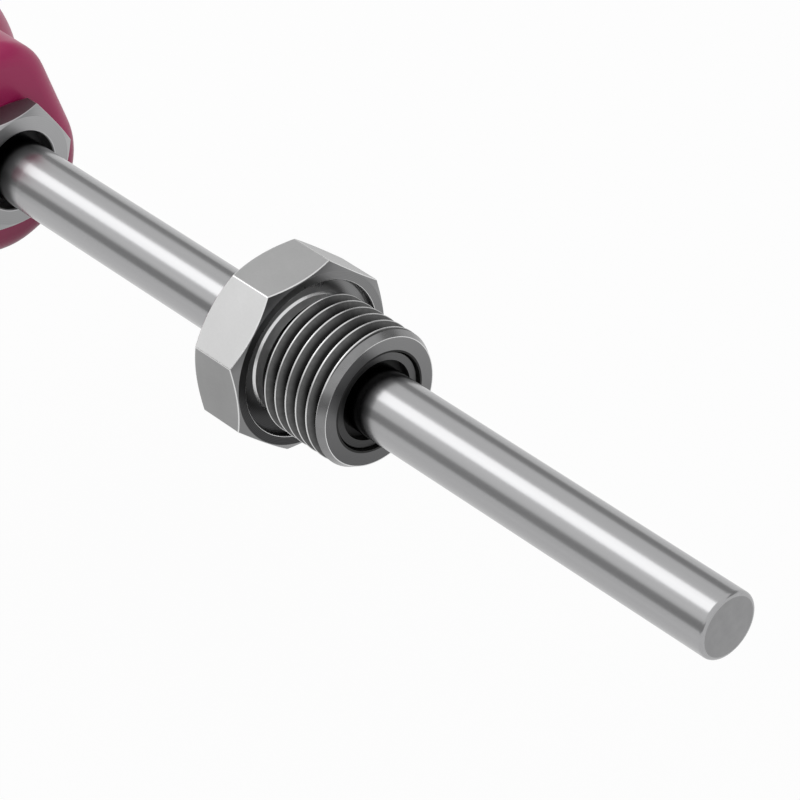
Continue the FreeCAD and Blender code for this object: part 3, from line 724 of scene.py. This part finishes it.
class TRANSMITTER_OT_fitting(bpy.types.Operator):
    """Shapes the process fitting's flats, seal recess and thread"""
    bl_idname = "transmitter.fitting"
    bl_label = "Process fitting"

    def execute(self, context):
        look = context.scene.transmitter.fitting
        # Painted highlight on the fitting's rounded edges
        edge = plain_steel("painted_highlight_edges", look.edge_steel, roughness=0.2)
        self.make_flats(look, edge)
        self.make_thread(look, edge)
        # Painted light and shade on the bush
        bush = turned_steel(
            "turned_bush", shade(look.flank_steel, 0.4), shade(look.turned_steel, 0.6),
            roughness=0.3)
        finish_node("fitting_bush", bush)
        return {"FINISHED"}

    def make_flats(self, look, edge):
        """The flat-sided part with the seal recess in its front."""
        hole = STEM_BOX[1].z + STEM_GAP
        floor, wall = -look.recess_depth, look.recess_radius
        bend = RECESS_BEND
        bm = bmesh.new()
        out = [level_ring(0.0, wall), level_ring(floor + bend, wall)]
        for step in range(1, RECESS_STEPS + 1):
            turn = FULL_TURN / 4 / RECESS_STEPS * step
            out.append(level_ring(
                floor + bend - bend * math.sin(turn), wall - bend + bend * math.cos(turn)))
        out.append(level_ring(floor, hole))
        rear = [level_ring(-look.height, hole)]
        flat_sided(bm, look, 0.0, -look.height, rear, out)
        flats = milled_steel("milled_flats", look.flat_steel, look.flats / 2, FITTING_PAINTED_LIGHT_AND_SHADE)
        # Painted light and shade on the sealing face, nearly black on its shaded side
        face = turned_steel("turned_face", look.shaded_steel, look.turned_steel, roughness=0.24)
        # Painted shade on the fitting's turned corners
        chamfer = chamfered_steel(
            "turned_corners", shade(look.flank_steel, 0.5), look.turned_steel)
        made = piece(
            "process_fitting_flats", bm, [flats, face, edge, chamfer],
            "process_fitting", SHARP_FLATS)
        soften(made, look.edge_break)

    def make_thread(self, look, edge):
        """The relief, the ridges of the thread, its end face and its bore."""
        pitch, top = look.thread_pitch, look.thread_radius
        root = top - look.thread_depth
        bm = bmesh.new()
        first = look.thread_start + look.thread_phase - 2 * pitch
        verts = [
            bm.verts.new((first + share * pitch, 0.0, root + rise * look.thread_depth))
            for share, rise in RIDGE
        ]
        edges = [bm.edges.new(pair) for pair in zip(verts, verts[1:])]
        turns = math.ceil((look.thread_reach - first) / pitch) + 1
        bmesh.ops.spin(
            bm, geom=verts + edges, axis=(1, 0, 0), cent=(0, 0, 0),
            dvec=(pitch / THREAD_FACETS, 0, 0), angle=FULL_TURN * turns,
            steps=THREAD_FACETS * turns)
        bmesh.ops.remove_doubles(bm, verts=bm.verts, dist=SAME_PLACE)
        start, end = look.thread_start, look.thread_reach
        lead = end - look.lead_length
        for along in (start + START_SLOPE, lead, lead + LEAD_STEP):
            self.slice(bm, along, False, False)
        self.slice(bm, start, False, True)
        self.slice(bm, end, True, False)
        self.trim(bm, look)
        bmesh.ops.remove_doubles(bm, verts=bm.verts, dist=WELD)
        bmesh.ops.dissolve_degenerate(bm, dist=WELD, edges=bm.edges)
        for face in bm.faces:
            if min(vert.co.x for vert in face.verts) > lead - SAME_PLACE:
                face.material_index = LEAD
        bore, neck = look.bore_radius, look.relief_radius
        floor, fillet = -look.recess_depth, RELIEF_FILLET
        self.close(bm, end, (
            (end, top - look.end_chamfer - look.edge_break, HIGHLIGHT_EDGE),
            (end, bore + look.joint_line, END_FACE),
            (end, bore, JOINT),
            (end - BORE_SHOWN, bore, JOINT),
        ))
        self.close(bm, start, (
            (floor + fillet, neck, RELIEF),
            (floor, neck + fillet, HIGHLIGHT_EDGE),
            (floor - fillet, neck + fillet, HIGHLIGHT_EDGE),
        ))
        # Painted light and shade on the thread's end face
        end_face = turned_steel(
            "turned_end", shade(look.flank_steel, 1.6), look.turned_steel, roughness=0.24)
        finishes = [
            threaded_steel("cut_thread", look),
            end_face,
            plain_steel("relief_steel", look.edge_steel, roughness=0.45),
            edge,
            dull("joint_line", look.root_steel, roughness=0.6),
            plain_steel("end_chamfer", look.turned_steel, roughness=0.22),
        ]
        piece(
            "process_fitting_thread", bm, finishes, "process_fitting",
            SHARP_THREAD)

    def close(self, bm, along, rings):
        """Carries the thread's open end through some rings and fills the last one."""
        edges = boundary_at(bm, along)
        for place, radius, material in rings:
            edges = next_ring(bm, edges, level_ring(place, radius), material)
        bmesh.ops.holes_fill(bm, edges=edges, sides=0)

    def slice(self, bm, along, clear_outer, clear_inner):
        """Cuts the thread across at one place and can drop what lies beyond or before it."""
        bmesh.ops.bisect_plane(
            bm, geom=bm.verts[:] + bm.edges[:] + bm.faces[:], dist=MERGE, plane_co=(along, 0, 0),
            plane_no=(1, 0, 0), clear_outer=clear_outer, clear_inner=clear_inner)

    def trim(self, bm, look):
        """Turns the thread down to the smooth cone at its end and to the slope at its start."""
        slope = (look.thread_radius - look.relief_radius) / START_SLOPE
        lead = look.thread_reach - look.lead_length
        for vert in bm.verts:
            reach = math.hypot(vert.co.y, vert.co.z)
            beyond = max(0.0, vert.co.x - lead)
            cone = look.thread_radius - beyond / look.lead_length * look.end_chamfer
            start = look.relief_radius + (vert.co.x - look.thread_start) * slope
            filled = reach + (cone - reach) * min(1.0, beyond / LEAD_STEP)
            share = min(filled, cone, start) / reach
            vert.co.y *= share
            vert.co.z *= share


class TRANSMITTER_OT_neck(bpy.types.Operator):
    """Shapes the neck nut and finishes the pieces inside it"""
    bl_idname = "transmitter.neck"
    bl_label = "Neck"

    def execute(self, context):
        look = context.scene.transmitter.neck
        head = context.scene.transmitter.head
        front = NUT_BOX[1].x
        back = NUT_BOX[0].x + look.spigot_length
        hole = STEM_BOX[1].z + STEM_GAP
        root = NUT_BOX[0].x
        bm = bmesh.new()
        out = [
            level_ring(front, look.bore_radius + MOUTH_BREAK),
            level_ring(front - MOUTH_BREAK, look.bore_radius),
            level_ring(front - look.bore_depth, look.bore_radius),
            level_ring(front - look.bore_depth, hole),
        ]
        rear = [
            level_ring(root, hole), level_ring(root, look.spigot_radius),
            level_ring(back, look.spigot_radius),
        ]
        flat_sided(bm, look, front, back, rear, out)
        # Painted light and shade on the nut's turned faces
        nut = turned_steel(
            "turned_nut", shade(look.steel, 0.8), shade(look.steel, 1.1), roughness=0.3,
            groove=0.3 * MM, depth=0.15)
        # Painted highlight on the nut's rounded edges
        edge = plain_steel("nut_edges", shade(look.steel, 1.3), roughness=0.25)
        flats = milled_steel("milled_nut", look.steel, look.flats / 2, NUT_FLAT_PAINTED_SHADE)
        made = piece(
            "neck_nut_flats", bm, [flats, nut, edge, nut], "neck_nut", SHARP_FLATS)
        soften(made, look.edge_break)
        finish_node("stem_ferrule", nut)
        finish_node("stem_seal", dull("neck_seal", head.rubber, roughness=0.5))
        return {"FINISHED"}


class TRANSMITTER_OT_head(bpy.types.Operator):
    """Paints the head and its cap and finishes what is inside"""
    bl_idname = "transmitter.head"
    bl_label = "Head"

    def execute(self, context):
        look = context.scene.transmitter.head
        finish_node("head_body", coat("wine_coat", look.paint, underside_shade=0.4))
        finish_node("head_cap", coat("cap_coat", look.paint, underside_shade=0.92))
        finish_node("cap_seal", dull("cap_rubber", look.rubber, roughness=0.55))
        finish_node("transmitter_module", dull("module_case", look.module, roughness=0.4))
        brass = plain_steel("clamp_brass", look.brass, roughness=0.3)
        plated = plain_steel("screw_plating", look.plating, roughness=0.25)
        for name in ("terminal_clamps", "ground_clamp"):
            finish_node(name, brass)
        for name in ("terminal_screws", "ground_screw", "module_screws"):
            finish_node(name, plated)
        finish_node("lead_wires", plain_steel("tinned_wire", look.wire, roughness=0.3))
        ceramic = dull("fired_ceramic", look.ceramic, roughness=0.5, grain=900.0)
        for name in ("sensor_element", "insulator_rod"):
            finish_node(name, ceramic)
        return {"FINISHED"}


class TRANSMITTER_OT_gland(bpy.types.Operator):
    """Finishes the cable gland"""
    bl_idname = "transmitter.gland"
    bl_label = "Cable gland"

    def execute(self, context):
        look = context.scene.transmitter.gland
        rubber = dull("gland_rubber", context.scene.transmitter.head.rubber, roughness=0.55)
        plastic = dull("gland_plastic", look.plastic, roughness=0.42)
        for name in ("gland_body", "gland_nut"):
            finish_node(name, plastic)
        for name in ("gland_seal", "gland_washer"):
            finish_node(name, rubber)
        finish_node("gland_slip_washer", dull("slip_plastic", look.washer, roughness=0.45))
        return {"FINISHED"}


class TRANSMITTER_OT_stage(bpy.types.Operator):
    """Sets up the floor, the light and the camera"""
    bl_idname = "transmitter.stage"
    bl_label = "Stage"

    def execute(self, context):
        look = context.scene.transmitter.stage
        context.scene.view_settings.view_transform = "Standard"
        self.make_floor(look)
        self.make_world(context, look)
        self.make_lights(context, look)
        self.make_cards(context, look)
        self.make_camera(context, look)
        return {"FINISHED"}

    def seen_directly(self, finish):
        """One for the camera's own, mirrored or passing rays, and nought for the rest."""
        kinds = ("Is Camera Ray", "Is Glossy Ray", "Is Transmission Ray")
        camera, glossy, passing = (
            finish.node("ShaderNodeLightPath", output=kind) for kind in kinds)
        return camera + glossy + passing

    def make_floor(self, look):
        """A pale floor that takes the part's shadow."""
        bm = bmesh.new()
        bmesh.ops.create_grid(
            bm, x_segments=1, y_segments=1, size=FLOOR_SIZE,
            matrix=Matrix.Translation((0, 0, look.floor_level)))
        mesh = bpy.data.meshes.new("floor")
        bm.to_mesh(mesh)
        bm.free()
        finish = new_finish("pale_floor")
        matt = finish.node("ShaderNodeBsdfDiffuse", None, {"Color": FLOOR_GREY})
        glow = finish.node("ShaderNodeEmission", None, {"Color": WHITE, "Strength": 1.0})
        share = self.seen_directly(finish) * look.floor_glow
        seen = finish.node("ShaderNodeMixShader", None, {0: share, 1: matt, 2: glow})
        finish.node("ShaderNodeOutputMaterial", None, {"Surface": seen})
        mesh.materials.append(finish.owner)
        floor = bpy.data.objects.new("floor", mesh)
        bpy.context.scene.collection.objects.link(floor)

    def make_world(self, context, look):
        """A room that is white to look at and dimmer as a light."""
        world = bpy.data.worlds.new("studio")
        context.scene.world = world
        finish = Finish(world)
        seen = self.seen_directly(finish)
        strength = look.room_light + seen * (1.0 - look.room_light)
        glow = finish.node("ShaderNodeBackground", None, {"Color": WHITE, "Strength": strength})
        finish.node("ShaderNodeOutputWorld", None, {"Surface": glow})

    def make_lights(self, context, look):
        """Soft lights above, whose power grows with their size."""
        for (name, place, size), level in zip(LAMPS, (look.narrow_light, look.wide_light)):
            lamp = bpy.data.lights.new(name, "AREA")
            lamp.shape = "RECTANGLE"
            lamp.size, lamp.size_y = size
            lamp.energy = level * math.pi * size[0] * size[1]
            made = bpy.data.objects.new(name, lamp)
            made.location = place
            made.visible_camera = False
            context.scene.collection.objects.link(made)

    def make_cards(self, context, look):
        """Dim cards that only mirrors show, one on each side of the stem."""
        finish = new_finish("dim_card")
        glow = finish.node(
            "ShaderNodeEmission", None, {"Color": WHITE, "Strength": look.card_level})
        finish.node("ShaderNodeOutputMaterial", None, {"Surface": glow})
        for name, *edges in CARDS:
            bm = bmesh.new()
            corners = []
            for angle in edges:
                turn = math.radians(angle)
                across = Vector((0.0, math.cos(turn), math.sin(turn))) * CARD_DISTANCE
                corners.append([
                    bm.verts.new(across + Vector((along, 0, 0))) for along in CARD_ENDS])
            bm.faces.new((*corners[0], *reversed(corners[1])))
            mesh = bpy.data.meshes.new(name)
            bm.to_mesh(mesh)
            bm.free()
            mesh.materials.append(finish.owner)
            card = bpy.data.objects.new(name, mesh)
            context.scene.collection.objects.link(card)
            card.visible_camera = False
            card.visible_diffuse = False
            card.visible_shadow = False

    def make_camera(self, context, look):
        """The camera at the photograph's place."""
        data = bpy.data.cameras.new("photo_view")
        data.sensor_width = SENSOR_WIDTH
        data.lens = look.lens
        data.clip_start, data.clip_end = CLIP_RANGE
        right, up = Vector(CAMERA_RIGHT), Vector(CAMERA_UP)
        back = right.cross(up).normalized()
        up = back.cross(right).normalized()
        turn = Matrix((right.normalized(), up, back)).transposed()
        camera = bpy.data.objects.new("photo_view", data)
        camera.matrix_world = Matrix.Translation(CAMERA_PLACE) @ turn.to_4x4()
        context.scene.collection.objects.link(camera)
        context.scene.camera = camera


# Panel and registration
class TransmitterLook(bpy.types.PropertyGroup):
    stem: PointerProperty(type=StemLook, name="Stem", description="The stem's sizes and colour")
    fitting: PointerProperty(
        type=FittingLook, name="Fitting", description="The fitting's sizes and colours")
    neck: PointerProperty(
        type=NeckLook, name="Neck", description="The neck nut's sizes and colour")
    head: PointerProperty(type=HeadLook, name="Head", description="The head's colours")
    gland: PointerProperty(type=GlandLook, name="Gland", description="The gland's colours")
    stage: PointerProperty(type=StageLook, name="Stage", description="Floor, light and camera")


OPERATORS = (
    TRANSMITTER_OT_stem, TRANSMITTER_OT_fitting, TRANSMITTER_OT_neck, TRANSMITTER_OT_head,
    TRANSMITTER_OT_gland, TRANSMITTER_OT_stage,
)


class TRANSMITTER_PT_looks(bpy.types.Panel):
    """Lists the steps that dress the transmitter"""
    bl_idname = "TRANSMITTER_PT_looks"
    bl_label = "Temperature transmitter"
    bl_space_type = "VIEW_3D"
    bl_region_type = "UI"
    bl_category = "Transmitter"

    def draw(self, context):
        for operator in OPERATORS:
            self.layout.operator(operator.bl_idname)


CLASSES = (
    StemLook, FittingLook, NeckLook, HeadLook, GlandLook, StageLook, TransmitterLook,
    *OPERATORS, TRANSMITTER_PT_looks,
)


def register():
    for cls in CLASSES:
        bpy.utils.register_class(cls)
    bpy.types.Scene.transmitter = PointerProperty(type=TransmitterLook)


def unregister():
    del bpy.types.Scene.transmitter
    for cls in reversed(CLASSES):
        bpy.utils.unregister_class(cls)


def main():
    register()
    bpy.ops.transmitter.stem()
    bpy.ops.transmitter.fitting()
    bpy.ops.transmitter.neck()
    bpy.ops.transmitter.head()
    bpy.ops.transmitter.gland()
    bpy.ops.transmitter.stage()


if __name__ == "__main__":
    main()
